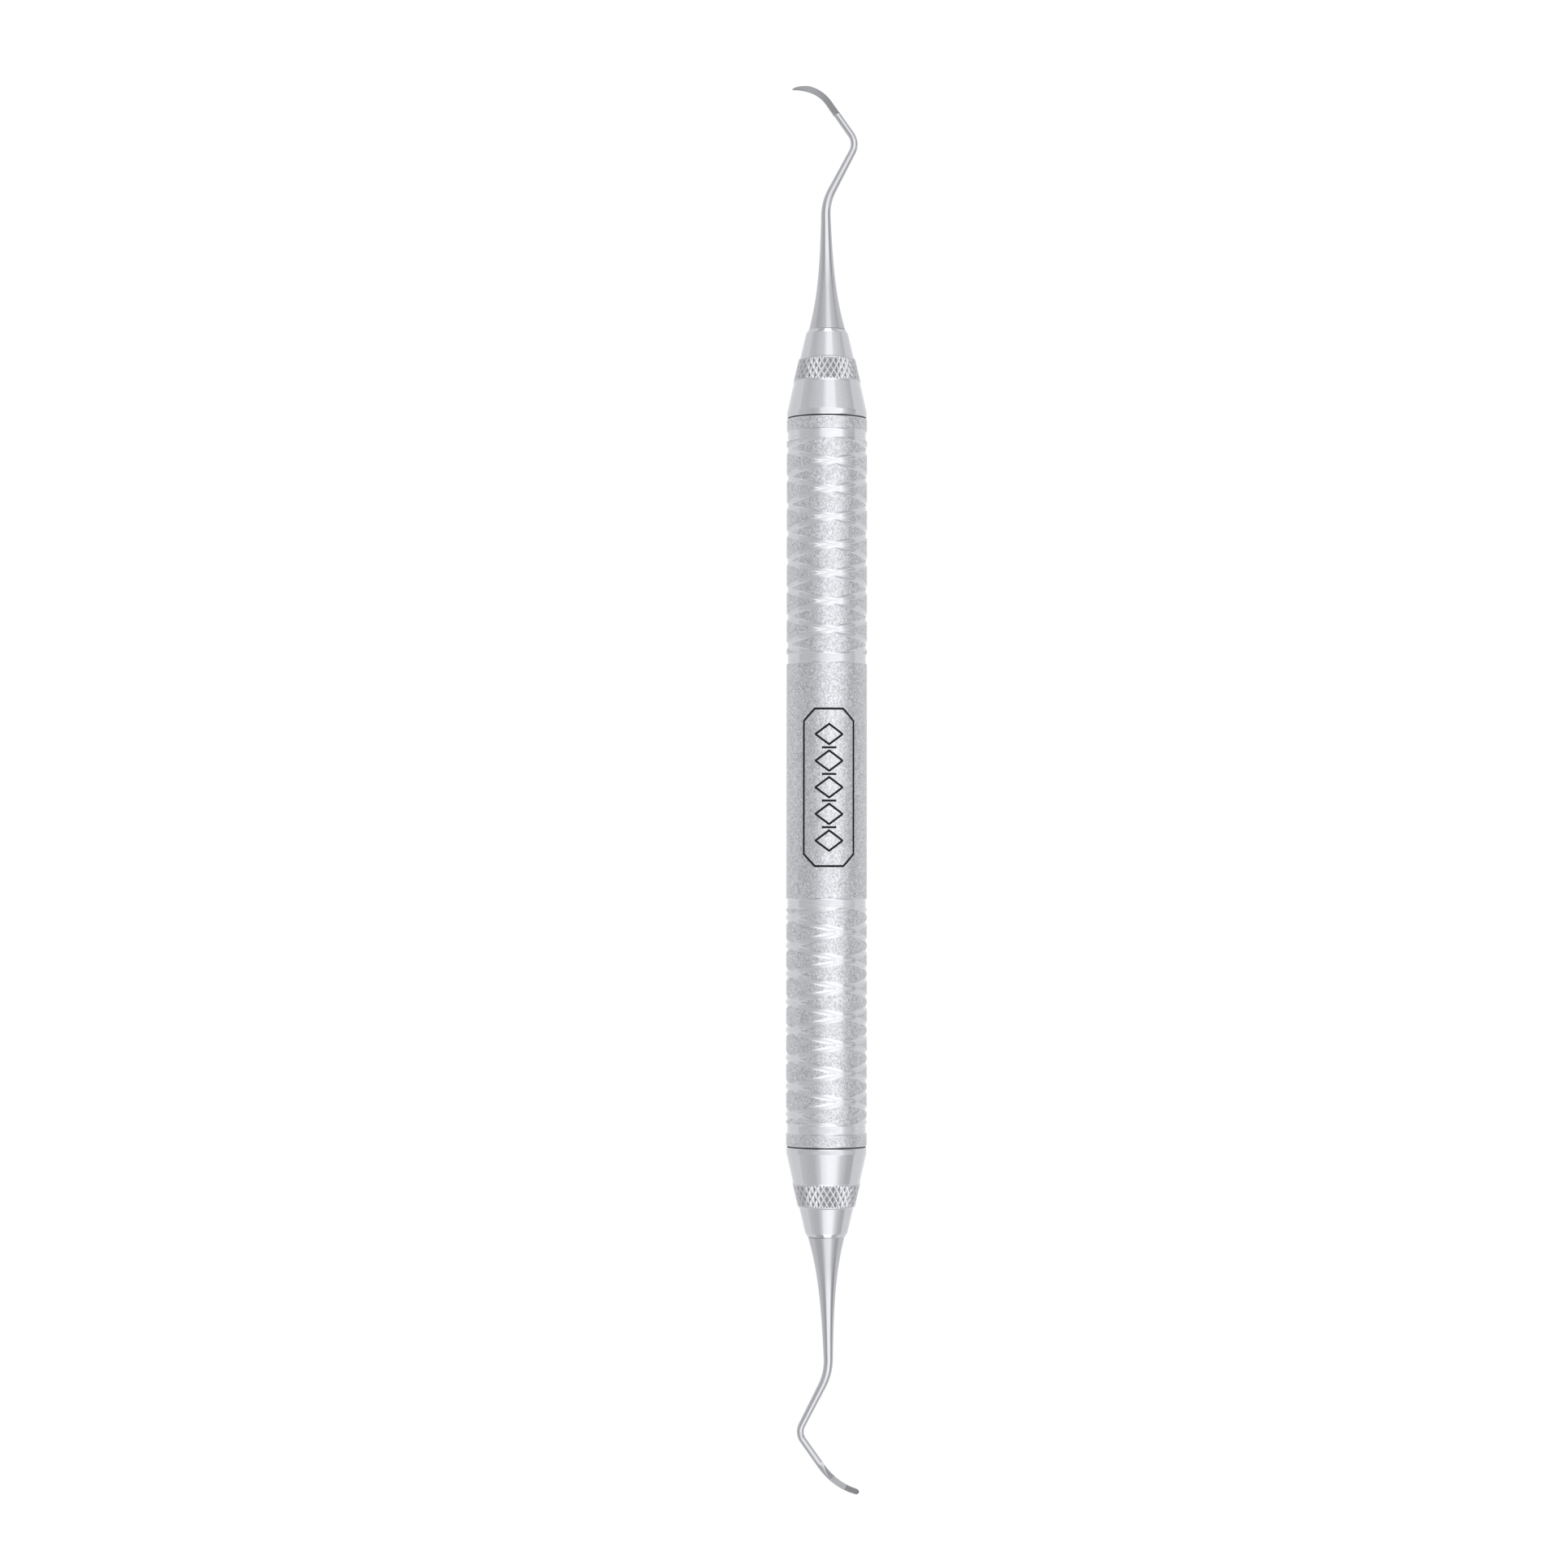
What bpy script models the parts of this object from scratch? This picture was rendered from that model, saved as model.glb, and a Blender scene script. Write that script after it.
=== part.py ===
"""Double-ended dental hand scaler with a hollow handle and two screw-in ends.

The instrument lies along X: the pointed sickle end at +X, the round-toed curette end at -X.
Z is up, and the handle rests on the plane z = 0 with one narrow facet of its tube.
Lengths in the constants are millimetres; the meshes are built in metres.
Each end is modelled in a frame of its own, whose Z runs outwards along the handle's axis
from the end face of the tube, so that both ends share their functions.
"""

import math

import bmesh
import bpy
from mathutils import Vector

MM = 0.001

# Handle tube
HANDLE_DIAMETER = 10.0
HANDLE_BORE = 8.6
HANDLE_LENGTH = 90.12
HANDLE_CENTRE_X = 0.4663  # puts x = 0 midway between the two toes
HANDLE_FACETS = 48
EDGE_CHAMFER = 0.06
RING_GROOVE_WIDTH = 1.28
RING_GROOVE_DEPTH = 0.13
RING_GROOVE_OFFSETS = (42.9, 15.15)  # from the middle of the handle, on both sides

# Screw thread that holds each end, a right-hand M5 x 0.8
THREAD_PITCH = 0.8
THREAD_MAJOR_RADIUS = 2.45
THREAD_ROOT_RADIUS = 2.02
THREAD_ROOT_WIDTH = 0.62
THREAD_CREST_WIDTH = 0.14
THREAD_CLEARANCE = 0.1
THREAD_STEPS = 16
THREAD_TURNS = 5
THREAD_TOP = -2.25
THREAD_EMBED = 0.15  # how far a ridge reaches past the surface that it stands on
TAP_LEAD_TURNS = 2  # how far the cut thread runs on past the stud's, above and in all
TAP_EXTRA_TURNS = 5

# Bushing pressed into each end of the tube
BUSHING_RADIUS = 4.22
BUSHING_TOP = -0.1
BUSHING_BOTTOM = -8.0
COUNTERBORE_RADIUS = 3.4
COUNTERBORE_BOTTOM = -1.5
BUSHING_BORE_RADIUS = THREAD_ROOT_RADIUS + THREAD_CLEARANCE
BUSHING_CHAMFER = 0.3

# Seal ring in the seam between the tube and the cone
SEAM_GAP = 0.2
SEAL_OUTER_RADIUS = 4.72
SEAL_INNER_RADIUS = 3.35
SEAL_THICKNESS = 0.14
SEAL_BULGE = 0.03

# Cone, with the spigot and the threaded stud in one piece
END_FACETS = 32  # of the cone, the seal and the bushing
CONE_LAND_RADIUS = 4.975
CONE_LAND_END = 0.9
CONE_LAND_STEP = 0.015
CONE_REAR_SLOPE = 0.225
CONE_FRONT_SLOPE = 0.2375
BELT_START = 4.6
BELT_END = 7.52
BELT_START_RADIUS = 4.21
BELT_END_RADIUS = 3.52
BELT_STEP = 0.12
NOSE_CHAMFER_START = 10.72
NOSE_CHAMFER_RADIUS = 2.63
NOSE_RADIUS = 2.36
NOSE_FACE = 11.18
NOSE_BORE_RADIUS = 1.55
NOSE_BORE_BOTTOM = 3.5
SPIGOT_RADIUS = 3.3
SPIGOT_END = -1.3
NECK_RADIUS = 1.85
NECK_END = -1.95
NECK_TAPER = 0.05
STUD_END = -7.0
STUD_CHAMFER = 0.3

# Working ends: tang in the cone's nose, then the tapered and bent shank, then the blade
TIP_SIDES = 16
TANG_RADIUS = 1.5
TANG_BOTTOM = 3.7
TANG_SHOULDER = 0.02
SHANK_START = 11.22
SHANK_DIAMETER = 1.09  # next to the cone, without the flare
SHANK_SLOPE = 0.0105  # how much thinner it gets along its length
SHANK_LEAST_DIAMETER = 0.87
FLARE_DIAMETER = 3.49  # what the flare adds at the cone
FLARE_LENGTH = 5.87
FLARE_POWER = 1.05
TOE_STATIONS = 3
TOE_LEAST = 0.07  # the last section, as a part of the full one
POINT_POWER = 0.42  # how bluntly a pointed blade ends
STATION_STEP = 1.6  # longest distance between two sections
STATION_TURN = 8.0  # largest turn between two sections, degrees
SHARP_ANGLE = 35.0  # shading breaks at edges sharper than this, degrees
SICKLE = {
    "lean": 0.638,  # degrees
    "first_run": 14.4,
    "first_bend": (6.58, 28.34),  # radius, degrees
    "second_run": 5.45,
    "second_bend": (2.13, 62.82),
    "terminal_run": 4.9,
    "blade_curves": ((4.39, 43.55), (6.8, 15.6)),
    "blade_start": 3.0,
    "blade_blend": 0.5,  # length over which the round shank turns into the blade's section
    "blade_height": (0.8, 0.7),  # heel, toe
    "blade_width": (0.92, 0.62),
    "back_power": 1.1,
    "toe_length": 2.1,
    "pointed": True,
}
CURETTE = {
    "lean": 0.982,
    "first_run": 15.02,
    "first_bend": (7.03, 28.26),
    "second_run": 5.37,
    "second_bend": (1.79, 62.79),
    "terminal_run": 3.75,
    "blade_curves": ((12.66, 3.52), (7.93, 37.0)),
    "blade_start": 3.2,
    "blade_blend": 0.9,
    "blade_height": (0.89, 0.7),
    "blade_width": (0.98, 0.84),
    "back_power": 1.6,
    "toe_length": 0.42,
    "pointed": False,
}

AXIS_HEIGHT = HANDLE_DIAMETER / 2 * math.cos(math.pi / HANDLE_FACETS)


def clear_scene():
    for old in list(bpy.data.objects):
        bpy.data.objects.remove(old, do_unlink=True)


def new_collection(name):
    collection = bpy.data.collections.new(name)
    bpy.context.scene.collection.children.link(collection)
    return collection


def principled(name, colour, metallic, roughness):
    material = bpy.data.materials.new(name)
    material.use_nodes = True
    shader = material.node_tree.nodes["Principled BSDF"]
    shader.inputs["Base Color"].default_value = (*colour, 1.0)
    shader.inputs["Metallic"].default_value = metallic
    shader.inputs["Roughness"].default_value = roughness
    material.diffuse_color = (*colour, 1.0)
    return material


def frame_empty(name, x, turn, collection):
    """An empty on the handle's axis whose Z points along +X, or along -X after a half turn."""
    empty = bpy.data.objects.new(name, None)
    empty.location = (x * MM, 0.0, AXIS_HEIGHT * MM)
    empty.rotation_euler = (0.0, math.radians(90), turn)
    collection.objects.link(empty)
    return empty


def new_object(name, mesh, parent, collection, material=None):
    obj = bpy.data.objects.new(name, mesh)
    obj.parent = parent
    collection.objects.link(obj)
    if material:
        mesh.materials.append(material)
    return obj


def make_cutter(obj):
    obj.hide_render = True
    obj.display_type = "WIRE"


def outline_mesh(name, points, closed):
    """Edges through (radius, height) points in the XZ plane, ready for a Screw modifier."""
    vertices = [(radius * MM, 0.0, height * MM) for radius, height in points]
    edges = [(i, i + 1) for i in range(len(points) - 1)]
    if closed:
        edges.append((len(points) - 1, 0))
    mesh = bpy.data.meshes.new(name)
    mesh.from_pydata(vertices, edges, [])
    return mesh


def add_screw(obj, steps, turns=1, pitch=0.0):
    screw = obj.modifiers.new("Turn", "SCREW")
    screw.axis = "Z"
    screw.angle = 2 * math.pi
    screw.steps = steps
    screw.render_steps = steps
    screw.iterations = turns
    screw.screw_offset = pitch * MM
    screw.use_merge_vertices = pitch == 0.0
    screw.merge_threshold = 1e-6
    screw.use_smooth_shade = True


def add_boolean(obj, operation, other):
    boolean = obj.modifiers.new(operation.title(), "BOOLEAN")
    boolean.operation = operation
    boolean.solver = "EXACT"
    boolean.object = other


def ring_groove(height):
    """Points down one shallow round-bottomed groove in the tube's outer side."""
    radius = HANDLE_DIAMETER / 2
    points = []
    for i in range(5):
        across = math.pi * i / 4
        depth = RING_GROOVE_DEPTH * math.sin(across)
        points.append((radius - depth, height + RING_GROOVE_WIDTH / 2 * math.cos(across)))
    return points


def handle_outline():
    outer = HANDLE_DIAMETER / 2
    inner = HANDLE_BORE / 2
    end = HANDLE_LENGTH / 2
    points = [(outer - EDGE_CHAMFER, end), (outer, end - EDGE_CHAMFER)]
    heights = list(RING_GROOVE_OFFSETS) + [-h for h in reversed(RING_GROOVE_OFFSETS)]
    for height in heights:
        points += ring_groove(height)
    points += [(outer, EDGE_CHAMFER - end), (outer - EDGE_CHAMFER, -end)]
    points += [(inner + EDGE_CHAMFER, -end), (inner, EDGE_CHAMFER - end)]
    points += [(inner, end - EDGE_CHAMFER), (inner + EDGE_CHAMFER, end)]
    return points


def make_handle(parent, collection, material):
    mesh = outline_mesh("handle_tube", handle_outline(), closed=True)
    tube = new_object("handle_tube", mesh, parent, collection, material)
    tube.rotation_euler.z = math.pi / HANDLE_FACETS
    add_screw(tube, HANDLE_FACETS)
    return tube


def thread_width(radius):
    """Width of the male thread's ridge at a radius."""
    slope = (THREAD_ROOT_WIDTH - THREAD_CREST_WIDTH) / (THREAD_MAJOR_RADIUS - THREAD_ROOT_RADIUS)
    return THREAD_ROOT_WIDTH - slope * (radius - THREAD_ROOT_RADIUS)


def thread_ridge(name, section, top, turns, parent, collection):
    """A helical ridge with closed ends, from a symmetric section of (radius, width) points."""
    bottom = top - turns * THREAD_PITCH
    upper = [(radius, bottom + width / 2) for radius, width in section]
    lower = [(radius, bottom - width / 2) for radius, width in reversed(section)]
    guide = new_object(name, outline_mesh(name, upper + lower, closed=True), parent, collection)
    add_screw(guide, THREAD_STEPS, turns, THREAD_PITCH)
    bpy.context.view_layer.update()
    graph = bpy.context.evaluated_depsgraph_get()
    mesh = bpy.data.meshes.new_from_object(guide.evaluated_get(graph))
    shape = bmesh.new()
    shape.from_mesh(mesh)
    bmesh.ops.holes_fill(shape, edges=shape.edges[:], sides=len(section) * 2)
    bmesh.ops.recalc_face_normals(shape, faces=shape.faces[:])
    shape.to_mesh(mesh)
    shape.free()
    bpy.data.objects.remove(guide, do_unlink=True)
    ridge = new_object(name, mesh, parent, collection)
    make_cutter(ridge)
    return ridge


def male_thread(name, parent, collection):
    section = [
        (THREAD_ROOT_RADIUS - THREAD_EMBED, THREAD_ROOT_WIDTH),
        (THREAD_ROOT_RADIUS, THREAD_ROOT_WIDTH),
        (THREAD_MAJOR_RADIUS, THREAD_CREST_WIDTH),
    ]
    return thread_ridge(name, section, THREAD_TOP, THREAD_TURNS, parent, collection)


def female_thread(name, parent, collection):
    """The cutter: the male ridge grown by the clearance, a pitch or more longer at each end."""
    inner = BUSHING_BORE_RADIUS - THREAD_EMBED
    outer = THREAD_MAJOR_RADIUS + THREAD_CLEARANCE
    section = [(radius, thread_width(radius) + THREAD_CLEARANCE) for radius in (inner, outer)]
    top = THREAD_TOP + TAP_LEAD_TURNS * THREAD_PITCH
    turns = THREAD_TURNS + TAP_EXTRA_TURNS
    return thread_ridge(name, section, top, turns, parent, collection)


def make_bushing(end, parent, collection, cutters, material):
    bore = BUSHING_BORE_RADIUS
    chamfer = BUSHING_CHAMFER
    points = [
        (BUSHING_RADIUS - chamfer, BUSHING_TOP),
        (BUSHING_RADIUS, BUSHING_TOP - chamfer),
        (BUSHING_RADIUS, BUSHING_BOTTOM + chamfer),
        (BUSHING_RADIUS - chamfer, BUSHING_BOTTOM),
        (bore + chamfer, BUSHING_BOTTOM),
        (bore, BUSHING_BOTTOM + chamfer),
        (bore, COUNTERBORE_BOTTOM - chamfer),
        (bore + chamfer, COUNTERBORE_BOTTOM),
        (COUNTERBORE_RADIUS, COUNTERBORE_BOTTOM),
        (COUNTERBORE_RADIUS, BUSHING_TOP),
    ]
    name = f"{end}_end_bushing"
    bushing = new_object(name, outline_mesh(name, points, closed=True), parent, collection, material)
    add_screw(bushing, END_FACETS)
    add_boolean(bushing, "DIFFERENCE", female_thread(f"{end}_bushing_tap", parent, cutters))
    return bushing


def make_seal(end, parent, collection, material):
    bottom = (SEAM_GAP - SEAL_THICKNESS) / 2
    top = bottom + SEAL_THICKNESS
    bulge = SEAL_OUTER_RADIUS + SEAL_BULGE
    points = [
        (SEAL_OUTER_RADIUS, top),
        (bulge, (top + bottom) / 2),
        (SEAL_OUTER_RADIUS, bottom),
        (SEAL_INNER_RADIUS, bottom),
        (SEAL_INNER_RADIUS, top),
    ]
    name = f"{end}_seal_ring"
    seal = new_object(name, outline_mesh(name, points, closed=True), parent, collection, material)
    add_screw(seal, END_FACETS)
    return seal


def cone_outline():
    """From the bottom of the nose bore, over the nose and the cone, down to the stud's end."""
    rear_length = BELT_START - BELT_STEP - CONE_LAND_END
    rear_end = CONE_LAND_RADIUS - CONE_LAND_STEP - CONE_REAR_SLOPE * rear_length
    front_length = NOSE_CHAMFER_START - BELT_END - BELT_STEP
    front_radius = NOSE_CHAMFER_RADIUS + CONE_FRONT_SLOPE * front_length
    return [
        (0.0, NOSE_BORE_BOTTOM),
        (NOSE_BORE_RADIUS, NOSE_BORE_BOTTOM),
        (NOSE_BORE_RADIUS, NOSE_FACE),
        (NOSE_RADIUS, NOSE_FACE),
        (NOSE_CHAMFER_RADIUS, NOSE_CHAMFER_START),
        (front_radius, BELT_END + BELT_STEP),
        (BELT_END_RADIUS, BELT_END),
        (BELT_START_RADIUS, BELT_START),
        (rear_end, BELT_START - BELT_STEP),
        (CONE_LAND_RADIUS, CONE_LAND_END),
        (CONE_LAND_RADIUS, SEAM_GAP + EDGE_CHAMFER),
        (CONE_LAND_RADIUS - EDGE_CHAMFER, SEAM_GAP),
        (SPIGOT_RADIUS, SEAM_GAP),
        (SPIGOT_RADIUS, SPIGOT_END + EDGE_CHAMFER),
        (SPIGOT_RADIUS - EDGE_CHAMFER, SPIGOT_END),
        (NECK_RADIUS, SPIGOT_END),
        (NECK_RADIUS, NECK_END),
        (THREAD_ROOT_RADIUS, NECK_END - NECK_TAPER),
        (THREAD_ROOT_RADIUS, STUD_END + STUD_CHAMFER),
        (THREAD_ROOT_RADIUS - STUD_CHAMFER, STUD_END),
        (0.0, STUD_END),
    ]


def make_cone(end, parent, collection, cutters, material):
    name = f"{end}_cone"
    cone = new_object(name, outline_mesh(name, cone_outline(), False), parent, collection, material)
    add_screw(cone, END_FACETS)
    add_boolean(cone, "UNION", male_thread(f"{end}_stud_thread", parent, cutters))
    return cone


def walk(tip):
    """Stations (distance, height, sideways, heading) along the middle of a working end."""
    heading = -math.radians(tip["lean"])
    distance, height, sideways = SHANK_START, SHANK_START, 0.0
    stations = [(distance, height, sideways, heading)]
    moves = [
        (tip["first_run"], 0.0),
        tip["first_bend"],
        (tip["second_run"], 0.0),
        (tip["second_bend"][0], -tip["second_bend"][1]),
        (tip["blade_start"], 0.0),
        (tip["terminal_run"] - tip["blade_start"], 0.0),
    ]
    moves += [(radius, -degrees) for radius, degrees in tip["blade_curves"]]
    for size, degrees in moves:
        angle = math.radians(degrees)
        length = size * abs(angle) if degrees else size
        count = math.ceil(max(length / STATION_STEP, abs(degrees) / STATION_TURN))
        for _ in range(count):
            middle = heading + angle / count / 2
            distance += length / count
            height += math.cos(middle) * length / count
            sideways += math.sin(middle) * length / count
            heading += angle / count
            stations.append((distance, height, sideways, heading))
    return stations


def blade_start(tip):
    bends = (tip["first_bend"], tip["second_bend"])
    arcs = sum(radius * math.radians(degrees) for radius, degrees in bends)
    return SHANK_START + tip["first_run"] + tip["second_run"] + arcs + tip["blade_start"]


def shank_diameter(distance):
    along = distance - SHANK_START
    flare = FLARE_DIAMETER * math.exp(-((along / FLARE_LENGTH) ** FLARE_POWER))
    return max(SHANK_DIAMETER - SHANK_SLOPE * along + flare, SHANK_LEAST_DIAMETER)


def round_section(radius):
    turns = [2 * math.pi * i / TIP_SIDES for i in range(TIP_SIDES)]
    return [(radius * math.cos(turn), radius * math.sin(turn)) for turn in turns]


def blade_section(height, width, power):
    """A flat face on the concave side, and a back from triangular (power 1) to round (2)."""
    points = []
    corner = TIP_SIDES // 8
    for i in range(TIP_SIDES):
        side = i if i <= TIP_SIDES // 2 else i - TIP_SIDES
        if abs(side) <= corner:
            points.append((height / 2, width / 2 * side / corner))
            continue
        part = (abs(side) - corner) / (TIP_SIDES // 2 - corner)
        across = math.cos(math.pi / 2 * part)
        depth = (1 - across**power) ** (1 / power)
        points.append((height / 2 - height * depth, math.copysign(width / 2 * across, side)))
    return points


def mix(first, second, part):
    return first + (second - first) * part


def toe_factors(tip, distance, end):
    """How much of the blade's height and width is left at a distance along it."""
    left = min((end - distance) / tip["toe_length"], 1.0)
    if tip["pointed"]:
        return max(left**POINT_POWER, TOE_LEAST), max(left, TOE_LEAST)
    round_toe = max((1 - (1 - left) ** 2) ** 0.5, TOE_LEAST)
    return round_toe, round_toe


def tip_section(tip, distance, start, end):
    """The (concave side, across) section of a working end at a distance along it."""
    circle = round_section(shank_diameter(distance) / 2)
    if distance <= start:
        return circle
    along = (distance - start) / (end - start)
    height = mix(*tip["blade_height"], along)
    width = mix(*tip["blade_width"], along)
    height_left, width_left = toe_factors(tip, distance, end)
    blade = blade_section(height * height_left, width * width_left, tip["back_power"])
    shift = height * (1 - height_left) / 2 if tip["pointed"] else 0.0
    part = min((distance - start) / tip["blade_blend"], 1.0)
    return [
        (mix(c[0], b[0] + shift, part), mix(c[1], b[1], part)) for c, b in zip(circle, blade)
    ]


def tip_rings(tip):
    """Sections of the whole working end, from the bottom of the tang to the toe."""
    rings = []
    for height in (TANG_BOTTOM, SHANK_START - TANG_SHOULDER):
        section = round_section(TANG_RADIUS)
        rings.append([Vector((across, depth, height)) for depth, across in section])
    stations = walk(tip)
    start = blade_start(tip)
    end = stations[-1][0]
    if not tip["pointed"]:
        close_toe(stations, tip["toe_length"])
    for distance, height, sideways, heading in stations:
        normal = Vector((0.0, math.cos(heading), math.sin(heading)))
        centre = Vector((0.0, -sideways, height))
        section = tip_section(tip, distance, start, end)
        rings.append([centre + normal * depth + Vector((across, 0, 0)) for depth, across in section])
    return rings


def close_toe(stations, length):
    """Puts the last stations close together, where a round toe closes quickly."""
    distance, height, sideways, heading = stations[-1]
    while stations[-1][0] > distance - length:
        stations.pop()
    for i in range(TOE_STATIONS + 1):
        back = length * (1 - i / TOE_STATIONS) ** 2
        ahead = Vector((math.cos(heading), math.sin(heading))) * back
        stations.append((distance - back, height - ahead.x, sideways - ahead.y, heading))


def loft(name, rings):
    """A closed skin over the rings, capped at both ends."""
    shape = bmesh.new()
    loops = [[shape.verts.new(point * MM) for point in ring] for ring in rings]
    for low, high in zip(loops, loops[1:]):
        for i in range(len(low)):
            j = (i + 1) % len(low)
            shape.faces.new((low[i], low[j], high[j], high[i]))
    shape.faces.new(loops[0])
    shape.faces.new(loops[-1])
    bmesh.ops.recalc_face_normals(shape, faces=shape.faces[:])
    mesh = bpy.data.meshes.new(name)
    shape.to_mesh(mesh)
    shape.free()
    mesh.shade_smooth()
    mesh.set_sharp_from_angle(angle=math.radians(SHARP_ANGLE))
    return mesh


def make_tip(end, tip, parent, collection, material):
    name = f"{end}_tip"
    return new_object(name, loft(name, tip_rings(tip)), parent, collection, material)


def main():
    clear_scene()
    parts = new_collection("hand_scaler")
    cutters = new_collection("cutters")
    blasted = principled("blasted_steel", (0.62, 0.63, 0.65), 1.0, 0.45)
    polished = principled("polished_steel", (0.66, 0.66, 0.68), 1.0, 0.18)
    tip_steel = principled("tip_steel", (0.64, 0.64, 0.66), 1.0, 0.22)
    bushing_steel = principled("bushing_steel", (0.55, 0.55, 0.57), 1.0, 0.35)
    rubber = principled("black_nitrile", (0.02, 0.02, 0.022), 0.0, 0.6)

    handle_axis = frame_empty("handle_axis", HANDLE_CENTRE_X, 0.0, parts)
    make_handle(handle_axis, parts, blasted)
    for end, tip, side in (("sickle", SICKLE, 1), ("curette", CURETTE, -1)):
        face_x = HANDLE_CENTRE_X + side * HANDLE_LENGTH / 2
        turn = 0.0 if side > 0 else math.pi
        joint = frame_empty(f"{end}_screw_axis", face_x, turn, parts)
        make_bushing(end, joint, parts, cutters, bushing_steel)
        make_seal(end, joint, parts, rubber)
        make_cone(end, joint, parts, cutters, polished)
        make_tip(end, tip, joint, parts, tip_steel)


main()
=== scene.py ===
"""Looks of the double-ended hand scaler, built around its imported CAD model.

Constants are in millimetres and degrees, and meshes are in metres. The instrument lies along X with
Z up. Each end is shaped in a frame of its own, as in the CAD: Z runs outwards along the handle's axis
from the tube's end face, X points down at the floor and Y sideways, so both ends share functions.
"""

import math

import bmesh
import bpy
import numpy as np
from mathutils import Matrix, Vector


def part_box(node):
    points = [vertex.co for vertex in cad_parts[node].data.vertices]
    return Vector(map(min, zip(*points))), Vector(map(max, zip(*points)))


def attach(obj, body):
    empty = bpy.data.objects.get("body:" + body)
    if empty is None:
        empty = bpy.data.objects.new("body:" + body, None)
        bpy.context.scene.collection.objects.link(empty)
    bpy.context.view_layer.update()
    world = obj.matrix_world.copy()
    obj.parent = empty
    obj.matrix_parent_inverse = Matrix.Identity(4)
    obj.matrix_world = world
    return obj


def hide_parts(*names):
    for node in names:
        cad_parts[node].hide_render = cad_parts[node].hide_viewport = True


MM = 0.001

# Handle tube
BORE_RADIUS = 4.3
EDGE_CHAMFER = 0.06  # of edges inside
EDGE_ROUND = ((0.15, 0.0), (0.03, 0.04), (0.0, 0.07))  # distance from the end face, depth
EDGE_ROWS = (0.6, 0.25)  # extra rows before it
RING_WIDTH = 1.28
RING_WALL = 0.12  # width of the sloping wall at each side of a ring groove
RING_DEPTH = 0.13
RING_OFFSETS = (42.9, 15.15)  # from the middle of the handle, on both sides
HELIX_LEAD = 6.94
HELIX_WIDTH = 0.74
HELIX_DEPTH = 0.12
HELIX_FLATNESS = 4.0  # power of a groove's section, 2 for a parabola
ZONE_PHASES = (8.0, 28.0)  # where a groove starts, sickle zone and curette zone, degrees
HANDLE_COLUMNS = 96
ZONE_STEP = 0.062  # between rows, in the grooved zones
PLAIN_STEP = 0.6
POLISH_DEPTH = 0.03  # a groove this deep is fully polished

# Cone, spigot and threaded stud
CONE_COLUMNS = 360
SEAM_GAP = 0.17
LAND_RADIUS = 4.975
LAND_END = 0.9
LAND_STEP = 0.015
REAR_SLOPE = 0.225
FRONT_SLOPE = 0.2375
BELT_START = 4.6
BELT_END = 7.52
BELT_START_RADIUS = 4.21
BELT_END_RADIUS = 3.52
BELT_STEP = 0.12
SUPPORT = 0.06  # from a corner to the row that keeps its shading close
NOSE_CHAMFER_START = 10.72
NOSE_CHAMFER_RADIUS = 2.63
NOSE_RADIUS = 2.36
NOSE_FACE = 11.2
NOSE_BORE_RADIUS = 1.55
NOSE_BORE_BOTTOM = 3.5
NOSE_BORE_CHAMFER = 0.05
NOSE_EDGE = (0.06, 0.04)  # of the nose's outer edge, inwards and back
SHOULDER_ROUND = (0.03, 0.015, 0.06)  # in, out and along
LAND_END_WIDTH = 0.03
SPIGOT_RADIUS = 3.3
SPIGOT_END = -1.3
NECK_RADIUS = 1.85
NECK_END = -1.95
NECK_STEP = 0.1
STUD_END = -7.0
STUD_CHAMFER = 0.3
THREAD_PITCH = 0.8
THREAD_MAJOR_RADIUS = 2.45
THREAD_ROOT_RADIUS = 2.02
THREAD_ROOT_WIDTH = 0.62
THREAD_CREST_WIDTH = 0.14
THREAD_TOP = -2.25
THREAD_TURNS = 5
THREAD_STEP = 0.05

# Knurl on the cone's belt
KNURL_COUNT = 30
KNURL_PITCH = 1.25  # along the cone
KNURL_DEPTH = 0.22
KNURL_RIDGE = 0.05  # half of a ridge's width, as a part of the spacing
KNURL_PHASE = 0.25
KNURL_POWER = 0.9
KNURL_STEP = 0.04
KNURL_MARGIN = 0.25

# Seal ring
SEAL_OUTER_RADIUS = 4.84
SEAL_INNER_RADIUS = 3.35
SEAL_THICKNESS = 0.14
SEAL_BULGE = 0.03
SEAL_EDGE = 0.03
SEAL_COLUMNS = 144
SEAL_ARC_POINTS = 13

# Working ends
TIP_SIDES = 48
TANG_RADIUS = 1.5
TANG_BOTTOM = 3.7
SHANK_START = 11.22
TANG_SHOULDER = 0.02
SHANK_DIAMETER = 1.09  # next to the cone, without the flare
SHANK_SLOPE = 0.0105
SHANK_LEAST_DIAMETER = 0.87
FLARE_DIAMETER = 3.49
FLARE_LENGTH = 5.87
FLARE_POWER = 1.05
TOE_STATIONS = 12
TOE_LEAST = 0.06
POINT_POWER = 0.42
STATION_STEP = 0.35
BLADE_STEP = 0.08
STATION_TURN = 2.5
FACET_EDGE = 0.06  # over which a facet that isn't cut begins
FACET_CUT = 0.01  # a plane cut this deep is fully ground
SICKLE = {
    "lean": 0.638,  # degrees
    "first_run": 14.4,
    "first_bend": (6.58, 28.34),  # radius, degrees
    "second_run": 5.45,
    "second_bend": (2.13, 62.82),
    "terminal_run": 4.9,
    "blade_curves": ((4.39, 43.55), (6.8, 15.6)),
    "blade_start": 3.0,
    "blade_blend": 0.3,
    "blade_height": (0.8, 0.7),  # heel, toe
    "blade_width": (0.92, 0.62),
    "back_power": (1.02, 1.02),
    "toe_length": 2.1,
    "pointed": True,
    # from and to, measured from the toe, how much painted shade darkens it, how slanted its start is
    "facets": ((9.0, 0.0, 0.35, 0.6),),
}
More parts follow.
